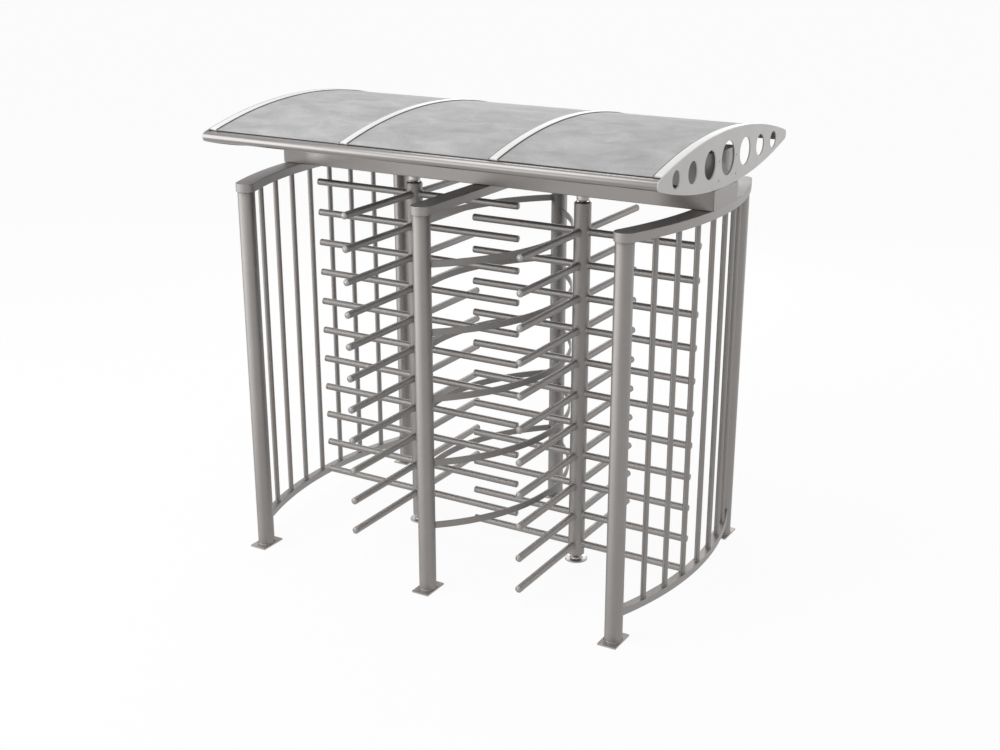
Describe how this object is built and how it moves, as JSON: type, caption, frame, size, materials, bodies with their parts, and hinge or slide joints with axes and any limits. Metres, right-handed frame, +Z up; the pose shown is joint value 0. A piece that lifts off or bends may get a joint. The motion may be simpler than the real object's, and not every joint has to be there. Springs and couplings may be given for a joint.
{
  "type": "full-height turnstile",
  "caption": "Double full-height turnstile: rotors of stacked arms turn between barred cages under a header beam and an arched canopy.",
  "frame": {"origin": "on the floor, midway between the two rotor axes", "axes": "+X along the row of rotors, +Y through the passages towards the rear, +Z up"},
  "size_m": [2.56, 1.6098, 2.428],
  "materials": {
    "post_steel": "satin brushed stainless steel, brushed along the tube",
    "column_steel": "satin brushed stainless steel",
    "bars_steel": "satin stainless steel bar",
    "rail_steel": "satin brushed stainless steel, welded and ground",
    "header_steel": "satin brushed stainless steel sheet",
    "arm_steel": "satin stainless steel tube",
    "plate_steel": "cut stainless steel plate",
    "bearing_steel": "turned stainless steel",
    "seal_rubber": "black rubber seal",
    "roof_panel": "frosted translucent polycarbonate sheet",
    "rib_white": "white satin powder coat",
    "edge_aluminium": "satin anodised aluminium extrusion",
    "end_plate_satin": "pale grey satin powder coat"
  },
  "bodies": {
    "frame": {"post_front_left": "post_steel", "post_front_middle": "post_steel", "post_front_right": "post_steel", "post_rear_left": "post_steel", "post_rear_middle": "post_steel", "post_rear_right": "post_steel", "base_plates_left": "plate_steel", "base_plates_middle": "plate_steel", "base_plates_right": "plate_steel", "cage_left_top_rail": "rail_steel", "cage_left_bottom_rail": "rail_steel", "cage_left_bars": "bars_steel", "cage_right_top_rail": "rail_steel", "cage_right_bottom_rail": "rail_steel", "cage_right_bars": "bars_steel", "middle_top_rail": "rail_steel", "top_rail_ends": "rail_steel", "barrier_bars_left": "bars_steel", "barrier_bars_right": "bars_steel", "header_beam": "header_steel", "header_end_covers": "header_steel", "header_collar_left": "header_steel", "header_collar_right": "header_steel", "floor_bearing_left": "bearing_steel", "floor_bearing_right": "bearing_steel", "canopy_support_beam": "header_steel", "canopy_end_plate_left": "end_plate_satin", "canopy_end_plate_right": "end_plate_satin", "canopy_end_ribs": "rib_white", "canopy_inner_ribs": "rib_white", "canopy_edge_rail_front": "edge_aluminium", "canopy_edge_rail_rear": "edge_aluminium", "canopy_panel_left": "roof_panel", "canopy_panel_middle": "roof_panel", "canopy_panel_right": "roof_panel"},
    "left_rotor": {"left_column": "column_steel", "left_spindle": "bearing_steel", "left_neck_ring": "seal_rubber", "left_wing_outer": "arm_steel", "left_wing_inner": "arm_steel", "left_wing_front": "arm_steel", "left_wing_rear": "arm_steel"},
    "right_rotor": {"right_column": "column_steel", "right_spindle": "bearing_steel", "right_neck_ring": "seal_rubber", "right_wing_outer": "arm_steel", "right_wing_inner": "arm_steel", "right_wing_front": "arm_steel", "right_wing_rear": "arm_steel"}
  },
  "joints": [
    {"name": "left_rotor_spin", "type": "hinge", "parent": "frame", "child": "left_rotor", "pos_m": [-0.512, 0, 0], "axis": [0, 0, 1], "continuous": true},
    {"name": "right_rotor_spin", "type": "hinge", "parent": "frame", "child": "right_rotor", "pos_m": [0.512, 0, 0], "axis": [0, 0, 1], "continuous": true}
  ]
}
